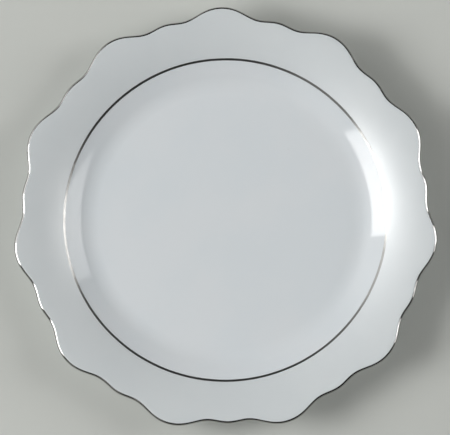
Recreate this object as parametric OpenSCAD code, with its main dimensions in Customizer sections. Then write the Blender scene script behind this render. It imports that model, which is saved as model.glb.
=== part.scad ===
// Bread and butter plate: a porcelain body with a scalloped rim, its glaze coats and two platinum lines.
// Millimetres. The plate stands on z = 0, centred on the Z axis, with a main lobe of the rim on +Y.

/* [Scalloped edge] */
// Number of main lobes round the rim, with a small lobe between each pair
lobes = 11; // [6:1:14]
// Mean radius of the edge
edge_r = 79.2; // [77:0.1:95]
// First wave of the edge, which raises the main lobes
lobe_wave = 1.8; // [0.4:0.05:2.4]
// Second wave of the edge, which raises the small lobes
scallop_wave = 0.75; // [0.1:0.05:1.1]
// Third wave of the edge, which rounds the crest of each main lobe
crest_wave = 0.22; // [0:0.01:0.4]

/* [Well and rim] */
// Height of the well floor above the table
well_h = 5.6; // [4.8:0.1:8]
// Radius of the flat well floor
well_r = 49; // [46:0.1:51]
// Radius of the curve from the well floor into its wall
cavetto_r = 16.5; // [12:0.1:20]
// Slope of the well's wall where the verge line runs
wall_angle = 25; // [20:0.5:28]
// Slope of the rim at its mean edge
rim_angle = 11; // [4:0.5:16]
// Radius of the verge line, from the axis to its middle
verge_r = 61.9; // [60:0.1:66]

/* [Thickness] */
// Thickness of the rounded lip, glaze included
lip_t = 2.2; // [1.8:0.1:3]
// Thickness of the wall at its foot, glaze included
wall_t = 3.4; // [2.6:0.1:4]
// Thickness of the floor inside the foot ring, glaze included
floor_t = 3.2; // [2.4:0.1:4]

/* [Foot ring] */
// Radius of the foot ring, from the axis to the middle of its bearing edge
foot_r = 45.5; // [42:0.1:46.5]
// Width of the bare bearing edge
bearing_w = 1.4; // [1:0.1:2.4]
// Lean of both sides of the foot ring from upright
foot_draft = 20; // [5:1:30]
// Height of the bare strip above the bearing edge, where the glaze is wiped off
wiped_h = 0.5; // [0.3:0.1:1]
// Size of the glaze's fillet in the corners beside the foot ring
pool = 0.6; // [0.2:0.1:0.8]

/* [Coats and lines] */
// Thickness of the gloss glaze in the well and on the back
gloss_t = 0.2; // [0.15:0.01:0.3]
// Thickness of the satin glaze on the rim
satin_t = 0.25; // [0.2:0.01:0.35]
// Thickness of the platinum lines
platinum_t = 0.1; // [0.06:0.01:0.15]
// Width of the verge line
verge_w = 1; // [0.4:0.05:1.5]
// Angle round the lip, from its upper side, where the edge line starts
edge_line_from = 22; // [15:1:60]
// Angle round the lip, from its upper side, where the edge line ends
edge_line_to = 135; // [110:1:150]

/* [Hidden] */

$fn = 96;
fit_gap = 0.03;                        // clearance where a many-sided coat meets a round one
lobe_steps = 12;                       // points of the edge for each lobe
arc_steps = 10;                        // points of each curve in a turned profile
turn_steps = lobes * lobe_steps;
lip_r = lip_t / 2;
tongue = 1.4;                          // how far the rim's body runs on inside the turned core
core_depth = 1.6;                      // depth of that tongue's root under the upper face
overlap = 0.8;                         // how deep the core and the rim's body run into each other

// The upper face of the plate, turned about the axis: a flat floor, a hollow curve, a straight wall
// through the verge line, and a rim that flattens towards the edge.
wall_from_r = well_r + cavetto_r * sin(wall_angle);
wall_from_z = well_h + cavetto_r * (1 - cos(wall_angle));
seam_r = verge_r + verge_w / 2 * cos(wall_angle);
seam_z = wall_from_z + (seam_r - wall_from_r) * tan(wall_angle);
rim_curve_r = (edge_r - seam_r) / (sin(wall_angle) - sin(rim_angle));
rim_centre_r = seam_r + rim_curve_r * sin(wall_angle);
rim_centre_z = seam_z - rim_curve_r * cos(wall_angle);

function slope(r) =
    r <= well_r ? 0 :
    r <= wall_from_r ? asin((r - well_r) / cavetto_r) :
    r <= seam_r ? wall_angle :
    asin((rim_centre_r - r) / rim_curve_r);

function upper_z(r) =
    r <= well_r ? well_h :
    r <= wall_from_r ? well_h + cavetto_r * (1 - cos(slope(r))) :
    r <= seam_r ? wall_from_z + (r - wall_from_r) * tan(wall_angle) :
    rim_centre_z + rim_curve_r * cos(slope(r));

// A point that stands d off the upper face, square to it, above radius r
function off(r, d) = [r - d * sin(slope(r)), upper_z(r) + d * cos(slope(r))];

// Foot ring: the two sides lean in to the bearing edge
foot_out_r = foot_r + bearing_w / 2;
foot_in_r = foot_r - bearing_w / 2;
base_z = well_h - floor_t;
root_z = well_h - wall_t;
function foot_out(z) = foot_out_r + z * tan(foot_draft);
function foot_in(z) = foot_in_r - z * tan(foot_draft);

// Radius of the scalloped edge at an angle from the middle of a main lobe
function edge_at(a) =
    edge_r + lobe_wave * cos(lobes * a) + scallop_wave * cos(2 * lobes * a)
    - crest_wave * cos(3 * lobes * a);

// Radius on the upper face where the lip's rounding starts, for an edge of radius edge
function lip_start(edge) = edge - lip_r * (1 + sin(slope(edge - lip_r)));

// Stations of a rim section. Each gives a point [r, z] for an edge of radius edge, d outside the glaze.
function on_top(share, d, edge) =
    let (from = seam_r + fit_gap)
    off(from + (lip_start(edge) - from) * share, d);
function on_lip(turn, d, edge) =
    let (from = lip_start(edge), lean = turn - slope(from))
    off(from, -lip_r) + (lip_r + d) * [sin(lean), cos(lean)];
function thickness(r) = lip_t + (wall_t - lip_t) * min(1, (edge_r - r) / (edge_r - well_r));
function on_back(r, d) = off(r, -d - thickness(r));

top_shares = [0, 1/2];
edge_line_turns = [edge_line_from, (edge_line_from + 90) / 2, 90, edge_line_to];
lip_top_turns = [0, edge_line_turns[0], edge_line_turns[1], 90];
lip_back_turns = [90, edge_line_to, 180];
back_rs = [(edge_r + seam_r) / 2, seam_r, wall_from_r, (wall_from_r + well_r) / 2];
root_r = foot_out(root_z + gloss_t) + fit_gap;

function top_section(d, edge) = concat(
    [for (s = top_shares) on_top(s, d, edge)],
    [for (t = lip_top_turns) on_lip(t, d, edge)]);
function back_section(d, lip_turns, edge) = concat(
    [for (t = lip_turns) on_lip(t, d, edge)],
    [for (r = back_rs) on_back(r, d)]);

function reversed(list) = [for (i = [len(list) - 1 : -1 : 0]) list[i]];

// A closed ring lofted from one section for each step round the scalloped edge. The first outer_n points
// of a section run along its outer side. The rest run back, and split their facets the other way, so that
// coats lie flat on each other.
module scalloped_ring(sections, outer_n) {
    n = len(sections[0]);
    function at(i, j) = (i % turn_steps) * n + j % n;
    points = [for (i = [0 : turn_steps - 1]) let (a = 90 + i * 360 / turn_steps)
        for (p = sections[i]) [p[0] * cos(a), p[0] * sin(a), p[1]]];
    faces = [for (i = [0 : turn_steps - 1]) for (j = [0 : n - 1])
        let (a = at(i, j), b = at(i + 1, j), c = at(i + 1, j + 1), d = at(i, j + 1))
        for (f = j < outer_n ? [[a, b, c], [a, c, d]] : [[a, b, d], [b, c, d]]) f];
    polyhedron(points, faces);
}

edges = [for (i = [0 : turn_steps - 1]) edge_at(i * 360 / turn_steps)];

// Radii along the turned part of the upper face, out to the verge seam
turned_rs = concat(
    [0, well_r],
    [for (i = [1 : arc_steps]) well_r + (wall_from_r - well_r) * i / arc_steps],
    [seam_r]);

// Porcelain body

// Turned core: well, wall and foot ring, under the gloss glaze
module turned_core() {
    floor_z = base_z + gloss_t;
    rotate_extrude() polygon(concat(
        [for (r = turned_rs) off(r, -gloss_t)],
        [off(seam_r, -core_depth), off(wall_from_r, -core_depth - overlap)],
        [[foot_out(root_z + overlap), root_z + overlap], [foot_out_r, 0], [foot_in_r, 0]],
        [[foot_in(floor_z), floor_z], [0, floor_z]]));
}

// Scalloped rim of the body, from inside the core out round the lip and back to the foot ring
module body_rim() {
    scalloped_ring([for (edge = edges) concat(
        [off(seam_r - tongue, -satin_t)],
        top_section(-satin_t, edge),
        back_section(-gloss_t, [edge_line_to, 180], edge),
        [on_back(root_r, -gloss_t), on_back(foot_r, -gloss_t), on_back(foot_r, -gloss_t - 2 * overlap)],
        [off(wall_from_r, -core_depth)])], 15);
}

module porcelain_body() {
    color("whitesmoke") {
        turned_core();
        body_rim();
    }
}

// Glaze coats

module well_glaze() {
    color("azure") rotate_extrude() polygon(concat(
        [for (r = turned_rs) off(r, 0)],
        [for (r = reversed(turned_rs)) off(r, -gloss_t)]));
}

module rim_glaze() {
    color("gainsboro") scalloped_ring([for (edge = edges)
        concat(top_section(0, edge), reversed(top_section(-satin_t, edge)))], 6);
}

module back_glaze() {
    color("azure") scalloped_ring([for (edge = edges) concat(
        back_section(0, lip_back_turns, edge),
        [on_back(root_r + gloss_t + pool, 0)],
        [[foot_out(root_z - pool) + fit_gap + gloss_t, root_z - pool]],
        [[foot_out(wiped_h) + fit_gap + gloss_t / 2, wiped_h], [foot_out(wiped_h) + fit_gap, wiped_h]],
        [on_back(root_r, -gloss_t)],
        reversed(back_section(-gloss_t, [edge_line_to, 180], edge)),
        [on_lip(90, -satin_t, edge)])], 10);
}

module base_glaze() {
    floor_z = base_z + gloss_t;
    color("azure") rotate_extrude() polygon([
        [0, floor_z], [foot_in(floor_z), floor_z], [foot_in(wiped_h), wiped_h],
        [foot_in(wiped_h) - gloss_t / 2, wiped_h], [foot_in(base_z - pool) - gloss_t, base_z - pool],
        [foot_in(base_z) - gloss_t - pool, base_z], [0, base_z]]);
}

// Platinum lines

module verge_line() {
    half_w = verge_w / 2 * cos(wall_angle);
    color("lightgrey") rotate_extrude() polygon([
        off(verge_r - half_w, 0), off(verge_r + half_w, 0),
        off(verge_r + half_w, platinum_t), off(verge_r - half_w, platinum_t)]);
}

module edge_line() {
    color("lightgrey") scalloped_ring([for (edge = edges) concat(
        [for (t = edge_line_turns) on_lip(t, platinum_t, edge)],
        [for (t = reversed(edge_line_turns)) on_lip(t, 0, edge)])], 4);
}

porcelain_body();
well_glaze();
rim_glaze();
back_glaze();
base_glaze();
verge_line();
edge_line();
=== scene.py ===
import math

import bpy
import numpy as np
from mathutils import Matrix


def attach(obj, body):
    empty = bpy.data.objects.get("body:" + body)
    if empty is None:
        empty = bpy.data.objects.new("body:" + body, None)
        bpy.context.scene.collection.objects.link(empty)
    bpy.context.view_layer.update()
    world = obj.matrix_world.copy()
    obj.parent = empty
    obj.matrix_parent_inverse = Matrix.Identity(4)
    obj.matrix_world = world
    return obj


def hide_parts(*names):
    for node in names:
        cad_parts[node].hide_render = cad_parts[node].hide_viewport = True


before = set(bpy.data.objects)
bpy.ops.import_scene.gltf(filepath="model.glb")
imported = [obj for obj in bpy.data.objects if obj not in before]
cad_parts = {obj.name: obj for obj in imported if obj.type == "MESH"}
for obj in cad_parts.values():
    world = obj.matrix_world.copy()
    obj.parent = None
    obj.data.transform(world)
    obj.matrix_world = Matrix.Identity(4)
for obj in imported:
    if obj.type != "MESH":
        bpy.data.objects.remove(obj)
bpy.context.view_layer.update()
print("frame loaded:", ", ".join(sorted(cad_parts)))

# sizes of the plate in millimetres and degrees; those without a note are as in the part's source
plate = {
    "lobes": 11, "lobeWave": 1.8, "scallopWave": 0.75, "crestWave": 0.22,
    "edgeR": 79.1,                        # 0.1 less than there, to keep the edge line inside the solids' box
    "wellH": 5.6, "wellR": 49.0, "cavettoR": 16.5, "wallAngle": 25.0, "rimAngle": 11.0, "vergeR": 61.9,
    "wallFoot": 23.0,                     # slope at the wall's foot, from where it grows to the seam
    "lipT": 2.2, "wallT": 3.4, "floorT": 3.2,
    "footR": 45.5, "bearingW": 1.4, "footDraft": 20.0, "wipedH": 0.5, "pool": 0.6,
    "glossT": 0.2, "satinT": 0.25, "vergeW": 1.0,
    "edgeLineFrom": 22.0, "edgeLineTo": 135.0,
    "lipSeam": 92.0,                      # angle round the lip where the rim's coat meets the back's
    "turnSteps": 528,                     # grid steps round the plate
    "sharpAngle": 38.0,                   # edges that turn more than this are shaded sharp
}
metre = 0.001                             # sizes above are in millimetres

wallAngle = math.radians(plate["wallAngle"])
rimAngle = math.radians(plate["rimAngle"])
wallFoot = math.radians(plate["wallFoot"])
lipR = plate["lipT"] / 2


# point [r, z] of the hollow curve, an arc, where its slope reaches an angle
def hollowAt(angle):
    r = plate["wellR"] + plate["cavettoR"] * math.sin(angle)
    z = plate["wellH"] + plate["cavettoR"] * (1 - math.cos(angle))
    return r, z


# the seam beside the verge line stands as high as over a straight wall
straightR, straightZ = hollowAt(wallAngle)
seamR = plate["vergeR"] + plate["vergeW"] / 2 * math.cos(wallAngle)
seamZ = straightZ + (seamR - straightR) * math.tan(wallAngle)
wallFromR, wallFromZ = hollowAt(wallFoot)
wallStart = math.tan(wallFoot)
wallGrow = 2 * ((seamZ - wallFromZ) / (seamR - wallFromR) - wallStart)
rimCurveR = (plate["edgeR"] - seamR) / (math.sin(wallAngle) - math.sin(rimAngle))
rimCentreR = seamR + rimCurveR * math.sin(wallAngle)
rimCentreZ = seamZ - rimCurveR * math.cos(wallAngle)
baseZ = plate["wellH"] - plate["floorT"]
rootZ = plate["wellH"] - plate["wallT"]
footOutR = plate["footR"] + plate["bearingW"] / 2
footInR = plate["footR"] - plate["bearingW"] / 2
footLean = math.tan(math.radians(plate["footDraft"]))
turns = np.linspace(0, 2 * np.pi, plate["turnSteps"], endpoint=False)


# the value for each radius r from the stretch of the upper face that it lies on
def byStretch(r, well, hollow, wall, rim):
    return np.select([r <= plate["wellR"], r <= wallFromR, r <= seamR], [well, hollow, wall], rim)


# share of the way from the wall's foot to the seam
def wallShare(r):
    return (r - wallFromR) / (seamR - wallFromR)


# slope of the upper face at radius r: flat well, hollow arc, a wall that steepens evenly, a rim arc
def slopeAt(r):
    hollow = np.arcsin(np.clip((r - plate["wellR"]) / plate["cavettoR"], -1, 1))
    wall = np.arctan(wallStart + wallGrow * wallShare(r))
    rim = np.arcsin(np.clip((rimCentreR - r) / rimCurveR, -1, 1))
    return byStretch(r, 0 * r, hollow, wall, rim)


# height of the upper face at radius r: level, arc, parabola, arc
def upperAt(r):
    hollow = plate["wellH"] + plate["cavettoR"] * (1 - np.cos(slopeAt(r)))
    wall = wallFromZ + (r - wallFromR) * (wallStart + wallGrow / 2 * wallShare(r))
    rim = rimCentreZ + rimCurveR * np.cos(slopeAt(r))
    return byStretch(r, 0 * r + plate["wellH"], hollow, wall, rim)


# point [r, z] that stands d off the upper face, square to it, above radius r
def standOff(r, d):
    r = np.asarray(r, float)
    return np.stack([r - d * np.sin(slopeAt(r)), upperAt(r) + d * np.cos(slopeAt(r))], -1)


# scalloped edge: a mean radius and three cosine waves, with a main lobe on +Y
def edgeAt(turn):
    a = plate["lobes"] * turn
    return (plate["edgeR"] + plate["lobeWave"] * np.cos(a) + plate["scallopWave"] * np.cos(2 * a)
            - plate["crestWave"] * np.cos(3 * a))


# radius on the upper face where the lip's rounding starts
def lipStart(edge):
    return edge - lipR * (1 + np.sin(slopeAt(edge - lipR)))


lipStarts = lipStart(edgeAt(turns))[:, None]   # one row for each step round the plate


# points on the rim's upper face, a share of the way from an inner radius to the lip
def onTop(shares, d, innerR):
    return standOff(innerR + (lipStarts - innerR) * np.asarray(shares)[None, :], d)


# points round the lip: an arc about the middle of the edge's thickness, turned from the upper face
def onLip(degrees, d):
    lean = np.radians(np.atleast_2d(degrees)) - slopeAt(lipStarts)
    arc = np.stack([np.sin(lean), np.cos(lean)], -1)
    return standOff(lipStarts, -lipR) + (lipR + np.asarray(d, float))[..., None] * arc


# points under the rim and wall, a share of the way from the lip in to innerR
# the thickness grows evenly from the lip to the edge of the well
def onBack(shares, d, innerR):
    r = lipStarts + (innerR - lipStarts) * np.asarray(shares)[None, :]
    grown = np.clip((lipStarts - r) / (lipStarts - plate["wellR"]), 0, 1)
    return standOff(r, -d - plate["lipT"] - (plate["wallT"] - plate["lipT"]) * grown)


# radius of the foot ring's outer side at a height: both sides lean in to the bearing edge
def footOut(z):
    return footOutR + z * footLean


# radius of its inner side
def footIn(z):
    return footInR - z * footLean


# the same profile for every step round the plate
def allRound(points):
    return np.repeat(np.asarray(points, float)[None, :, :], len(turns), 0)


# quadratic curve from a to c that leaves and arrives along the corner b
def rounded(a, b, c, count):
    t = np.linspace(0, 1, count)[:, None]
    return (1 - t) ** 2 * np.asarray(a) + 2 * t * (1 - t) * np.asarray(b) + t ** 2 * np.asarray(c)


# a slow wander round the plate, from a few whole waves so that it closes on itself
def wander(waves, phase):
    return sum(np.sin(n * turns + phase * (k + 1)) / (k + 1) for k, n in enumerate(waves))[:, None]


# closed surface: a grid with one section for each step round the plate
# with poles, a section's two ends lie on the axis, and each becomes one vertex in a fan of triangles
def turnedMesh(name, sections, poles):
    steps, n = sections.shape[:2]
    r, z = sections[..., 0] * metre, sections[..., 1] * metre
    angle = (turns + np.pi / 2)[:, None]
    points = np.stack([r * np.cos(angle), r * np.sin(angle), z], -1)
    verts = points.reshape(-1, 3)
    index = np.arange(steps * n).reshape(steps, n)
    if poles:
        inside = steps * (n - 2)
        verts = np.vstack([points[:, 1:-1].reshape(-1, 3), points[0, 0], points[0, -1]])
        index[:, 1:-1] = np.arange(inside).reshape(steps, n - 2)
        index[:, 0] = inside
        index[:, -1] = inside + 1
    i, j = np.meshgrid(np.arange(steps), np.arange(n - 1 if poles else n), indexing="ij")
    nextI, nextJ = (i + 1) % steps, (j + 1) % n
    corners = np.stack([index[i, j], index[i, nextJ], index[nextI, nextJ], index[nextI, j]], -1)
    along = np.stack([i, i, i + 1, i + 1], -1) / steps
    across = np.stack([j, j + 1, j + 1, j], -1) / (n - 1)
    uv = np.stack([along, across], -1)
    groups = [(corners, uv)]
    if poles:
        first, last = [0, 1, 2], [0, 1, 3]   # corners of the triangles at the two poles
        groups = [(corners[:, 1:-1], uv[:, 1:-1]), (corners[:, 0, first], uv[:, 0, first]),
                  (corners[:, -1, last], uv[:, -1, last])]
    faces = sum((group.reshape(-1, group.shape[-1]).tolist() for group, _ in groups), [])
    strip = np.vstack([group.reshape(-1, 2) for _, group in groups])
    mesh = bpy.data.meshes.new(name)
    mesh.from_pydata(verts.tolist(), [], faces)
    mesh.uv_layers.new(name="strip").data.foreach_set("uv", strip.astype(np.float32).ravel())
    mesh.shade_smooth()
    mesh.set_sharp_from_angle(angle=math.radians(plate["sharpAngle"]))
    mesh.validate()
    piece = bpy.data.objects.new(name, mesh)
    bpy.context.scene.collection.objects.link(piece)
    return piece


# a shader node's inputs: each value is a number, a colour, a vector or another node's output
def feed(tree, node, sockets):
    for key, value in sockets.items():
        if isinstance(value, bpy.types.NodeSocket):
            tree.links.new(value, node.inputs[key])
        else:
            node.inputs[key].default_value = value


def addNode(tree, kind, sockets=None, **settings):
    made = tree.nodes.new(kind)
    for key, value in settings.items():
        setattr(made, key, value)
    feed(tree, made, sockets or {})
    return made


# a new material, with its tree, its shader and the coordinates that its patterns use
def newFinish(name):
    made = bpy.data.materials.new(name)
    made.use_nodes = True
    tree = made.node_tree
    tree.nodes.clear()
    shader = addNode(tree, "ShaderNodeBsdfPrincipled")
    addNode(tree, "ShaderNodeOutputMaterial", {"Surface": shader.outputs["BSDF"]})
    place = addNode(tree, "ShaderNodeTexCoord").outputs["Object"]
    return made, tree, shader, place


def noise(tree, place, pattern):
    sockets = {"Vector": place, "Scale": pattern["scale"], "Detail": pattern["detail"],
               "Roughness": pattern.get("rough", 0.5)}
    return addNode(tree, "ShaderNodeTexNoise", sockets).outputs["Fac"]


def ranged(tree, value, fromLow, fromHigh, low, high, kind="SMOOTHSTEP"):
    sockets = {"Value": value, "From Min": fromLow, "From Max": fromHigh, "To Min": low, "To Max": high}
    return addNode(tree, "ShaderNodeMapRange", sockets, interpolation_type=kind).outputs["Result"]


# a noise pattern, with the span of its values stretched from low to high
def patchy(tree, place, pattern, low=0.0, high=1.0):
    return ranged(tree, noise(tree, place, pattern), *pattern["span"], low, high)


def combine(tree, operation, a, b):
    return addNode(tree, "ShaderNodeMath", {0: a, 1: b}, operation=operation).outputs[0]


# colour a, going over to b by a share; a colour is an output or three numbers
def mixed(tree, share, a, b):
    colours = [(*c, 1.0) if isinstance(c, tuple) else c for c in (a, b)]
    sockets = {"Factor": share, 6: colours[0], 7: colours[1]}   # 6, 7 and output 2 are its colours
    return addNode(tree, "ShaderNodeMix", sockets, data_type="RGBA").outputs[2]


# bumps from a height; relief is their strength, and their depth in metres
def bumped(tree, height, relief, normal=None):
    strength, depth = relief
    sockets = {"Height": height, "Strength": strength, "Distance": depth}
    if normal:
        sockets["Normal"] = normal
    return addNode(tree, "ShaderNodeBump", sockets).outputs["Normal"]


# distance from the plate's axis, in metres
def fromAxis(tree, place):
    flat = addNode(tree, "ShaderNodeVectorMath", {0: place, 1: (1.0, 1.0, 0.0)}, operation="MULTIPLY")
    return addNode(tree, "ShaderNodeVectorMath", {0: flat.outputs[0]}, operation="LENGTH").outputs["Value"]


# clear gloss glaze over white porcelain: faint mottling, an uneven melt, a rare iron speck
# under the plate it gathers beside the foot ring, a little bluer, and lies over shallow turning rings
glossSet = {
    "colour": (0.690, 0.722, 0.738), "mottle": (0.672, 0.712, 0.732), "ior": 1.42,
    "cloud": {"scale": 38.0, "detail": 3.0, "span": (0.35, 0.65)},
    "melt": {"scale": 140.0, "detail": 4.0, "span": (0.3, 0.7)}, "rough": (0.035, 0.07),
    "wave": {"scale": 420.0, "detail": 1.0}, "waveRelief": (0.035, 0.00004),
    "speck": (0.36, 0.33, 0.29), "speckCells": {"Scale": 120.0, "Randomness": 1.0},
    "speckSize": (0.010, 0.022), "speckFrom": 0.93, "speckDepth": 0.55,
    "pooled": (0.600, 0.668, 0.690), "poolReach": (0.0011, 0.0034), "poolDepth": 0.75,
    "rings": {"Scale": 62.0, "Distortion": 1.4, "Detail": 1.0, "Detail Scale": 0.6},
    "ringRelief": (0.05, 0.00006),
}


def glossGlaze(name, pooled):
    made, tree, shader, place = newFinish(name)
    colour = mixed(tree, patchy(tree, place, glossSet["cloud"]), glossSet["colour"], glossSet["mottle"])
    cells = addNode(tree, "ShaderNodeTexVoronoi", {"Vector": place, **glossSet["speckCells"]}).outputs
    near = ranged(tree, cells["Distance"], *glossSet["speckSize"], glossSet["speckDepth"], 0.0)
    draw = addNode(tree, "ShaderNodeSeparateColor", {"Color": cells["Color"]}).outputs["Red"]
    chosen = combine(tree, "GREATER_THAN", draw, glossSet["speckFrom"])
    colour = mixed(tree, combine(tree, "MULTIPLY", near, chosen), colour, glossSet["speck"])
    normal = bumped(tree, noise(tree, place, glossSet["wave"]), glossSet["waveRelief"])
    if pooled:
        offset = combine(tree, "SUBTRACT", fromAxis(tree, place), plate["footR"] * metre)
        gap = combine(tree, "ABSOLUTE", offset, 0.0)
        gathered = ranged(tree, gap, *glossSet["poolReach"], glossSet["poolDepth"], 0.0)
        colour = mixed(tree, gathered, colour, glossSet["pooled"])
        rings = addNode(tree, "ShaderNodeTexWave", {"Vector": place, **glossSet["rings"]},
                        wave_type="RINGS", rings_direction="Z").outputs["Fac"]
        normal = bumped(tree, rings, glossSet["ringRelief"], normal)
    rough = patchy(tree, place, glossSet["melt"], *glossSet["rough"])
    feed(tree, shader, {"Base Color": colour, "Roughness": rough, "Normal": normal, "IOR": glossSet["ior"]})
    return made


# satin glaze on the rim: the same white, a touch greyer, with a fine tooth that spreads the light
satinSet = {
    "colour": (0.672, 0.708, 0.716), "mottle": (0.656, 0.694, 0.704), "ior": 1.9,
    "cloud": {"scale": 52.0, "detail": 3.0, "span": (0.35, 0.65)},
    "melt": {"scale": 260.0, "detail": 4.0, "span": (0.3, 0.7)}, "rough": (0.29, 0.36),
    "tooth": {"scale": 3600.0, "detail": 2.0}, "toothRelief": (0.10, 0.00003),
    "wave": {"scale": 300.0, "detail": 1.0}, "waveRelief": (0.04, 0.00004),
}


def satinGlaze(name):
    made, tree, shader, place = newFinish(name)
    colour = mixed(tree, patchy(tree, place, satinSet["cloud"]), satinSet["colour"], satinSet["mottle"])
    rough = patchy(tree, place, satinSet["melt"], *satinSet["rough"])
    tooth = bumped(tree, noise(tree, place, satinSet["tooth"]), satinSet["toothRelief"])
    normal = bumped(tree, noise(tree, place, satinSet["wave"]), satinSet["waveRelief"], tooth)
    feed(tree, shader, {"Base Color": colour, "Roughness": rough, "Normal": normal, "IOR": satinSet["ior"]})
    return made


# platinum, brushed on while the plate turns: streaks run along the line, and it is thin in places
# the verge line keeps its streaks, which spread its shine across it; the edge line is rubbed smooth
platinumSet = {
    "stretch": (90.0, 9.0, 1.0), "grooveRelief": (0.05, 0.00001), "quarterTurn": 0.25,
    "streaks": {"scale": 1.0, "detail": 4.0, "rough": 0.6, "span": (0.35, 0.7)},
    "wear": {"scale": 900.0, "detail": 3.0, "span": (0.60, 0.74)}, "wearDepth": 0.6,
}
brushedLine = {
    "colour": (0.430, 0.426, 0.414), "streak": (0.360, 0.355, 0.343), "thin": (0.490, 0.485, 0.472),
    "rough": (0.29, 0.36), "spread": 0.925,
}
smoothLine = {
    "colour": (0.490, 0.486, 0.472), "streak": (0.410, 0.405, 0.391), "thin": (0.560, 0.555, 0.540),
    "rough": (0.03, 0.08), "spread": 0.0,
}


def platinumFinish(name, line):
    made, tree, shader, place = newFinish(name)
    strip = addNode(tree, "ShaderNodeUVMap", uv_map="strip").outputs["UV"]
    stretched = addNode(tree, "ShaderNodeMapping", {"Vector": strip, "Scale": platinumSet["stretch"]})
    streak = patchy(tree, stretched.outputs["Vector"], platinumSet["streaks"])
    worn = patchy(tree, place, platinumSet["wear"], 0.0, platinumSet["wearDepth"])
    along = addNode(tree, "ShaderNodeTangent", direction_type="UV_MAP", uv_map="strip").outputs["Tangent"]
    feed(tree, shader, {
        "Base Color": mixed(tree, worn, mixed(tree, streak, line["colour"], line["streak"]), line["thin"]),
        "Roughness": ranged(tree, streak, 0.0, 1.0, *line["rough"]),
        "Normal": bumped(tree, streak, platinumSet["grooveRelief"]),
        "Tangent": along,
        "Anisotropic": line["spread"],
        "Anisotropic Rotation": platinumSet["quarterTurn"],
        "Metallic": 1.0,
    })
    return made


# bare fired porcelain, ground on its bearing edge: dry and warm, with a fine grain
# grey scuffs show on the lowest part of that edge, where the plate has been slid
bareSet = {
    "colour": (0.700, 0.672, 0.628), "grain": (0.620, 0.590, 0.545), "scuff": (0.36, 0.35, 0.34),
    "grains": {"scale": 2600.0, "detail": 5.0, "rough": 0.65, "span": (0.35, 0.7)}, "rough": (0.62, 0.82),
    "scuffs": {"scale": 170.0, "detail": 4.0, "rough": 0.6, "span": (0.50, 0.68)}, "scuffDepth": 0.7,
    "scuffHeight": (0.00002, 0.0002),
    "pits": {"scale": 3000.0, "detail": 4.0, "rough": 0.6}, "pitRelief": (0.25, 0.00004),
}


def barePorcelain(name):
    made, tree, shader, place = newFinish(name)
    grain = patchy(tree, place, bareSet["grains"])
    dry = mixed(tree, grain, bareSet["colour"], bareSet["grain"])
    height = addNode(tree, "ShaderNodeSeparateXYZ", {"Vector": place}).outputs["Z"]
    low = ranged(tree, height, *bareSet["scuffHeight"], 1.0, 0.0)
    scuffs = patchy(tree, place, bareSet["scuffs"], 0.0, bareSet["scuffDepth"])
    feed(tree, shader, {
        "Base Color": mixed(tree, combine(tree, "MULTIPLY", low, scuffs), dry, bareSet["scuff"]),
        "Roughness": ranged(tree, grain, 0.0, 1.0, *bareSet["rough"]),
        "Normal": bumped(tree, noise(tree, place, bareSet["pits"]), bareSet["pitRelief"]),
    })
    return made


finishes = {
    "well": glossGlaze("glossGlazeWell", False),
    "back": glossGlaze("glossGlazeBack", True),
    "rim": satinGlaze("satinGlazeRim"),
    "verge": platinumFinish("platinumVerge", brushedLine),
    "edge": platinumFinish("platinumEdge", smoothLine),
    "bare": barePorcelain("barePorcelain"),
}
print("finishes made:", len(finishes))


# a piece gets its finish, rides on the plate's one body and stands for its node
def fit(piece, finish, node):
    piece.data.materials.append(finishes[finish])
    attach(piece, "root")
    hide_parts(node)
    return piece


# porcelain body: a little inside the coats, with the foot ring's rounded bearing edge left bare
body = {
    "inset": 0.04, "topRs": 24, "shares": 10, "lipTurns": 9,
    "bearingRound": 0.22, "roundSteps": 7,   # width of the bearing edge's rounding, which is twice as high
    "flatR": 20.0,                        # a ring of points on the two flat floors
    "seamGap": 0.6, "rootGap": 1.2,       # widths of its joins at the seam and beside the foot ring
}


def makeBody():
    g = plate["glossT"] + body["inset"]
    s = plate["satinT"] + body["inset"]
    curveRs = np.linspace(plate["wellR"], seamR - body["seamGap"], body["topRs"])
    wellRs = np.concatenate([[0.0, body["flatR"]], curveRs])
    shares = np.linspace(0, 1, body["shares"])
    outR, inR, k, count = footOut(0), footIn(0), body["bearingRound"], body["roundSteps"]
    floorZ = baseZ + g
    foot = np.vstack([
        [[footOut(rootZ + g), rootZ + g]],
        rounded([footOut(2 * k), 2 * k], [outR, 0], [outR - k, 0], count),
        rounded([inR + k, 0], [inR, 0], [footIn(2 * k), 2 * k], count),
        [[footIn(floorZ), floorZ], [body["flatR"], floorZ], [0.0, floorZ]]])
    sections = np.concatenate([
        allRound(standOff(wellRs, -g)),
        onTop(shares[:-1], -s, seamR),
        onLip(np.linspace(0, 180, body["lipTurns"]), -s),
        onBack(shares[1:], -g, footOut(rootZ) + body["rootGap"]),
        allRound(foot)], 1)
    return fit(turnedMesh("plateBody", sections, True), "bare", "porcelain_body")


# well glaze: a thin shell over the well and its wall, which ends under the verge line
well = {"floorRs": 13, "curveRs": 40, "wallRs": 8}


def makeWellGlaze():
    rs = np.concatenate([np.linspace(0, plate["wellR"], well["floorRs"])[:-1],
                         np.linspace(plate["wellR"], wallFromR, well["curveRs"])[:-1],
                         np.linspace(wallFromR, plate["vergeR"], well["wallRs"])])
    profile = np.vstack([standOff(rs, 0.0), standOff(rs[::-1], -plate["glossT"])])
    return fit(turnedMesh("wellGlaze", allRound(profile), True), "well", "well_glaze")


# rim glaze: a thin satin shell from the verge line over the rim and half round the lip
rim = {"shares": 30, "lipTurns": 12}


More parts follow.
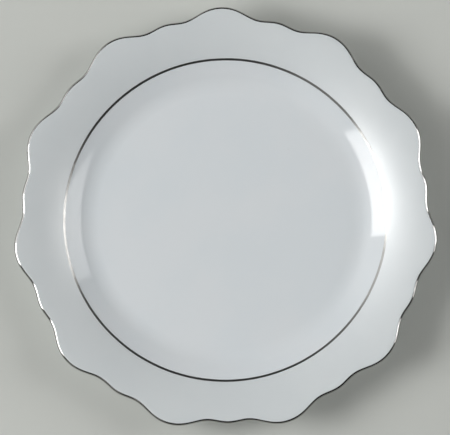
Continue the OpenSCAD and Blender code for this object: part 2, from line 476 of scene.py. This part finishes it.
def makeRimGlaze():
    shares = np.linspace(0, 1, rim["shares"])[:-1]
    degrees = np.linspace(0, plate["lipSeam"], rim["lipTurns"])
    outer, inner = (np.concatenate([onTop(shares, d, plate["vergeR"]), onLip(degrees, d)], 1)
                    for d in (0.0, -plate["satinT"]))
    sections = np.concatenate([outer, inner[:, ::-1]], 1)
    return fit(turnedMesh("rimGlaze", sections, False), "rim", "rim_glaze")


# lower edge of the glaze on a side of the foot ring, wiped by hand along a line that wanders
# it thins out in three rings: rises are their heights over that line, thins their shares of the thickness
wiped = {"rises": (0.25, 0.05, 0.0), "thins": (1.0, 0.75, 0.05), "wander": 0.05}


def wipedEdge(side, outward, waves, phase):
    z = plate["wipedH"] + wiped["wander"] * wander(waves, phase) + np.array(wiped["rises"])
    return np.stack([side(z) + outward * plate["glossT"] * np.array(wiped["thins"]), z], -1)


# back glaze: from under the lip in to the foot ring, with a fillet at its root and a wiped lower edge
# the fillet reaches out from the foot ring by filletReach times the pool, less a small step
back = {
    "shares": 46, "lipTurns": 10, "fillet": 9, "waves": (3, 7, 16, 41), "phase": 0.9,
    "filletReach": 1.6, "filletStep": 0.06, "bodyGap": 0.01,
}


def makeBackGlaze():
    g, pool = plate["glossT"], plate["pool"]
    shares = np.linspace(0, 1, back["shares"])[1:]
    degrees = np.linspace(plate["lipSeam"], 180, back["lipTurns"])
    innerR = footOut(rootZ) + g + pool * back["filletReach"]
    fillet = rounded([innerR - back["filletStep"], rootZ], [footOut(rootZ) + g, rootZ],
                     [footOut(rootZ - pool) + g, rootZ - pool], back["fillet"])
    lower = wipedEdge(footOut, 1, back["waves"], back["phase"])
    root = allRound([[footOut(rootZ + g) + back["bodyGap"], rootZ + g]])
    outer = np.concatenate([onLip(degrees, 0.0), onBack(shares, 0.0, innerR), allRound(fillet)], 1)
    inner = np.concatenate([onLip(degrees, -g), onBack(shares, -g, innerR)], 1)
    sections = np.concatenate([outer, lower, root, inner[:, ::-1]], 1)
    return fit(turnedMesh("backGlaze", sections, False), "back", "back_glaze")


# base glaze: inside the foot ring, with a like fillet and wiped edge
# its floor rises a trace to the middle, by a squared cosine of the radius
base = {"fillet": 9, "rise": 0.12, "floorRs": 14, "waves": (4, 9, 19, 37), "phase": 2.3, "bodyGap": 0.01}


def makeBaseGlaze():
    g, pool = plate["glossT"], plate["pool"]
    floorZ = baseZ + g
    outerR = footIn(baseZ) - g - pool
    rs = np.linspace(0, outerR, base["floorRs"])
    floor = np.stack([rs, baseZ + base["rise"] * np.cos(rs / outerR * np.pi / 2) ** 2], -1)
    fillet = rounded([outerR, baseZ], [footIn(baseZ) - g, baseZ],
                     [footIn(baseZ - pool) - g, baseZ - pool], base["fillet"])
    lower = wipedEdge(footIn, -1, base["waves"], base["phase"])
    hidden = allRound([[footIn(floorZ) - base["bodyGap"], floorZ], [0.0, floorZ]])
    sections = np.concatenate([allRound(floor), allRound(fillet[1:]), lower, hidden], 1)
    return fit(turnedMesh("baseGlaze", sections[:, ::-1], True), "back", "base_glaze")


# platinum films: lift is the height of their tops over the coat, and sunk how deep their edges go in
film = {"lift": 0.04, "sunk": 0.03, "steep": 60}


# shares of the way from the middle of a line to its edge, mirrored to the other side
def bothSides(shares):
    half = np.asarray(shares)
    return np.concatenate([-half[:0:-1], half])[None, :]


# height of a film: a high power of the way across keeps its top flat and its edges steep
def filmLift(across):
    return film["lift"] - (film["lift"] + film["sunk"]) * across ** film["steep"]


# how far an edge of a line draws in, which wanders as a brush does
def drawnIn(line, edge):
    return line["uneven"] * (1 + wander(*line[edge]) * line["waver"])


# verge line: a film on the wall; inner and outer give the waves and phase of its two edges
# under is the width of its hidden side as a share of its top
verge = {
    "across": (0.0, 0.45, 0.88, 0.95, 0.98, 1.0), "under": 0.98, "uneven": 0.035, "waver": 0.5,
    "inner": ((5, 13, 29), 1.7), "outer": ((4, 11, 31), 0.4),
}


def makeVergeLine():
    half = plate["vergeW"] / 2 * math.cos(wallAngle)
    across = bothSides(verge["across"])
    reach = across * np.where(across < 0, half - drawnIn(verge, "inner"), half - drawnIn(verge, "outer"))
    top = standOff(plate["vergeR"] + reach, filmLift(across))
    under = standOff(plate["vergeR"] + reach[:, ::-1] * verge["under"], -film["sunk"])
    sections = np.concatenate([top, under], 1)
    return fit(turnedMesh("vergeLine", sections, False), "verge", "verge_line")


# edge line: a film round the lip, from its upper shoulder to its underside
edgeLine = {
    "across": (0.0, 0.14, 0.28, 0.42, 0.56, 0.70, 0.83, 0.92, 0.96, 0.985, 1.0),
    "uneven": 1.6, "waver": 0.6, "start": ((6, 17, 33, 44), 1.1), "end": ((5, 15, 27), 2.6),
}


def makeEdgeLine():
    across = bothSides(edgeLine["across"])
    start = plate["edgeLineFrom"] + drawnIn(edgeLine, "start")
    end = plate["edgeLineTo"] - drawnIn(edgeLine, "end")
    degrees = start + (end - start) * (across + 1) / 2
    top = onLip(degrees, filmLift(across))
    under = onLip(degrees[:, ::-1], -film["sunk"])
    sections = np.concatenate([top, under], 1)
    return fit(turnedMesh("edgeLine", sections, False), "edge", "edge_line")


pieces = [make() for make in (makeBody, makeWellGlaze, makeRimGlaze, makeBackGlaze, makeBaseGlaze,
                              makeVergeLine, makeEdgeLine)]
print("pieces made:", ", ".join(p.name for p in pieces))

# floor: a pale warm grey sheet
ground = {
    "half": 6.0, "colour": (0.560, 0.574, 0.540), "mottle": (0.549, 0.563, 0.530), "rough": 0.75,
    "cloud": {"scale": 14.0, "detail": 4.0, "span": (0.3, 0.7)},
}


def makeFloor():
    h = ground["half"]
    mesh = bpy.data.meshes.new("floorSheet")
    mesh.from_pydata([(-h, -h, 0), (h, -h, 0), (h, h, 0), (-h, h, 0)], [], [(0, 1, 2, 3)])
    made, tree, shader, place = newFinish("paleFloor")
    colour = mixed(tree, patchy(tree, place, ground["cloud"]), ground["colour"], ground["mottle"])
    feed(tree, shader, {"Base Color": colour, "Roughness": ground["rough"]})
    mesh.materials.append(made)
    sheet = bpy.data.objects.new("floorSheet", mesh)
    bpy.context.scene.collection.objects.link(sheet)


makeFloor()

# softboxes: a strong one on the left, a weak one on the right, and a small low one beside that
# each faces the plate from a direction; shift moves it across and up in its own plane, in metres
# level is its power over pi times its area
# hot is the share of its width where it is brightest, and dim how fast it dims from there
# fade is the width of its soft border at the low end, the high end, the foot and the upper side
# drop is how far its upper side hangs at the low end, the middle and the high end
# slant, where the ends aren't upright, gives two heights and where the low and high ends stand at each
softboxes = {
    "leftSoftbox": {
        "azimuth": 186.0, "polar": 60.0, "reach": 1.0, "shift": (0.005, 0.1375),
        "width": 0.566, "height": 0.539, "level": 10.8, "hot": 0.25, "dim": 0.45,
        "fade": (0.02, 0.06, 0.03, 0.01), "drop": (0.083, 0.083, 0.0),
    },
    "rightSoftbox": {
        "azimuth": 4.0, "polar": 60.0, "reach": 1.0, "shift": (0.0055, 0.0653),
        "width": 0.709, "height": 0.803, "level": 4.95, "hot": 0.5, "dim": 2.0,
        "fade": (0.05, 0.02, 0.03, 0.01), "drop": (0.0, 0.079, 0.063),
        "slant": ((0.625, 0.202, 0.705), (0.766, 0.0, 0.674)),
    },
    "lowSoftbox": {
        "azimuth": 349.0, "polar": 68.0, "reach": 1.0, "shift": (0.0, 0.0),
        "width": 0.21, "height": 0.40, "level": 1.8, "hot": 0.5, "dim": 0.0,
        "fade": (0.02, 0.02, 0.02, 0.02), "drop": (0.0, 0.0, 0.0),
    },
}
white = (1.0, 1.0, 1.0, 1.0)


# unit vector to a spot in the studio, from its angle round the plate and its angle from overhead
def towardsSpot(azimuth, polar):
    a, p = math.radians(azimuth), math.radians(polar)
    return np.array([math.sin(p) * math.cos(a), math.sin(p) * math.sin(a), math.cos(p)])


# a lamp's or camera's place from its three axes and its spot
def placed(x, y, z, spot):
    return Matrix([[*map(float, row)] for row in np.stack([x, y, z, spot], 1)] + [[0, 0, 0, 1]])


# a softbox's level over its face: a parabola along it, times a soft border on its four sides
# its upper side hangs by a parabola through the three drops
def softFace(lamp, box):
    lamp.use_nodes = True
    tree = lamp.node_tree
    tree.nodes.clear()
    face = addNode(tree, "ShaderNodeNewGeometry").outputs["Parametric"]
    share = addNode(tree, "ShaderNodeSeparateXYZ", {"Vector": face}).outputs
    x = combine(tree, "MULTIPLY", share["X"], box["width"])
    y = combine(tree, "MULTIPLY", share["Y"], box["height"])
    lowDrop, midDrop, highDrop = box["drop"]
    bend = 2 * (lowDrop + highDrop - 2 * midDrop)
    lean = combine(tree, "ADD", combine(tree, "MULTIPLY", share["X"], bend), highDrop - lowDrop - bend)
    drop = combine(tree, "ADD", combine(tree, "MULTIPLY", share["X"], lean), lowDrop)
    upright = ((0.0, 0.0, box["width"]), (box["height"], 0.0, box["width"]))
    (y0, low0, high0), (y1, low1, high1) = box.get("slant", upright)
    lowX = ranged(tree, y, y0, y1, low0, low1, "LINEAR")
    highX = ranged(tree, y, y0, y1, high0, high1, "LINEAR")
    upperY = combine(tree, "SUBTRACT", box["height"], drop)
    insides = (combine(tree, "SUBTRACT", x, lowX), combine(tree, "SUBTRACT", highX, x), y,
               combine(tree, "SUBTRACT", upperY, y))
    away = combine(tree, "SUBTRACT", share["X"], box["hot"])
    dimmed = combine(tree, "MULTIPLY", combine(tree, "MULTIPLY", away, away), box["dim"])
    level = combine(tree, "SUBTRACT", 1.0, dimmed)
    for inside, fade in zip(insides, box["fade"]):
        level = combine(tree, "MULTIPLY", level, ranged(tree, inside, 0.0, fade, 0.0, 1.0))
    shine = addNode(tree, "ShaderNodeEmission", {"Color": white, "Strength": level})
    addNode(tree, "ShaderNodeOutputLight", {"Surface": shine.outputs["Emission"]})


def makeSoftbox(name, box):
    lamp = bpy.data.lights.new(name, "AREA")
    lamp.shape = "RECTANGLE"
    lamp.size, lamp.size_y = box["width"], box["height"]
    lamp.energy = math.pi * box["width"] * box["height"] * box["level"]
    softFace(lamp, box)
    a = math.radians(box["azimuth"])
    towards = towardsSpot(box["azimuth"], box["polar"])
    side = np.array([-math.sin(a), math.cos(a), 0.0])
    up = np.cross(towards, side)
    middle = towards * box["reach"] + side * box["shift"][0] + up * box["shift"][1]
    holder = bpy.data.objects.new(name, lamp)
    holder.matrix_world = placed(side, up, towards, middle)
    bpy.context.scene.collection.objects.link(holder)


for boxName, softbox in softboxes.items():
    makeSoftbox(boxName, softbox)

# studio walls: dim all round, with a few soft round glows
# a glow starts at one angle from its middle and is full from another on in
walls = {
    "level": 0.04,
    "glows": [
        {"azimuth": 167.0, "polar": 50.0, "level": 1.6, "from": 27.0, "full": 5.0},
        {"azimuth": 148.0, "polar": 80.0, "level": 0.8, "from": 34.0, "full": 6.0},
        {"azimuth": 224.0, "polar": 50.0, "level": 0.4, "from": 15.0, "full": 4.0},
        {"azimuth": 225.0, "polar": 31.0, "level": 0.6, "from": 17.0, "full": 3.0},
    ],
}


# a glow's level, by the cosine of the angle between a ray and the glow's middle
def glowLevel(tree, place, glow):
    towards = tuple(float(v) for v in towardsSpot(glow["azimuth"], glow["polar"]))
    near = addNode(tree, "ShaderNodeVectorMath", {0: place, 1: towards}, operation="DOT_PRODUCT")
    edge, full = (math.cos(math.radians(glow[k])) for k in ("from", "full"))
    return ranged(tree, near.outputs["Value"], edge, full, 0.0, glow["level"])


def makeWalls():
    world = bpy.data.worlds.new("studioGlow")
    bpy.context.scene.world = world
    world.use_nodes = True
    tree = world.node_tree
    tree.nodes.clear()
    place = addNode(tree, "ShaderNodeTexCoord").outputs["Generated"]
    level = walls["level"]
    for glow in walls["glows"]:
        level = combine(tree, "ADD", glowLevel(tree, place, glow), level)
    sky = addNode(tree, "ShaderNodeBackground", {"Color": white, "Strength": level})
    addNode(tree, "ShaderNodeOutputWorld", {"Surface": sky.outputs["Background"]})


makeWalls()
print("floor and lights made")

# camera: almost overhead, leaning a little towards the near side
eye = {
    "reach": 1.1, "tilt": 5.5, "azimuth": 290.0, "roll": -1.0, "target": (-0.00008, 0.00066, 0.010),
    "focalPixels": 2868.0, "imageWidth": 450, "sensor": 36.0, "clip": (0.05, 30.0),
}


def makeCamera():
    back = towardsSpot(eye["azimuth"], eye["tilt"])
    roll = math.radians(eye["roll"])
    right = np.cross(-back, (0.0, 1.0, 0.0))
    right /= np.linalg.norm(right)
    up = np.cross(right, -back)
    sideways = math.cos(roll) * right + math.sin(roll) * up
    upwards = -math.sin(roll) * right + math.cos(roll) * up
    lens = bpy.data.cameras.new("camera")
    lens.sensor_width = eye["sensor"]
    lens.lens = eye["focalPixels"] / eye["imageWidth"] * lens.sensor_width
    lens.clip_start, lens.clip_end = eye["clip"]
    holder = bpy.data.objects.new("camera", lens)
    spot = np.array(eye["target"]) + eye["reach"] * back
    holder.matrix_world = placed(sideways, upwards, back, spot)
    bpy.context.scene.collection.objects.link(holder)
    bpy.context.scene.camera = holder


makeCamera()
bpy.context.scene.view_settings.view_transform = "Standard"
print("camera made")
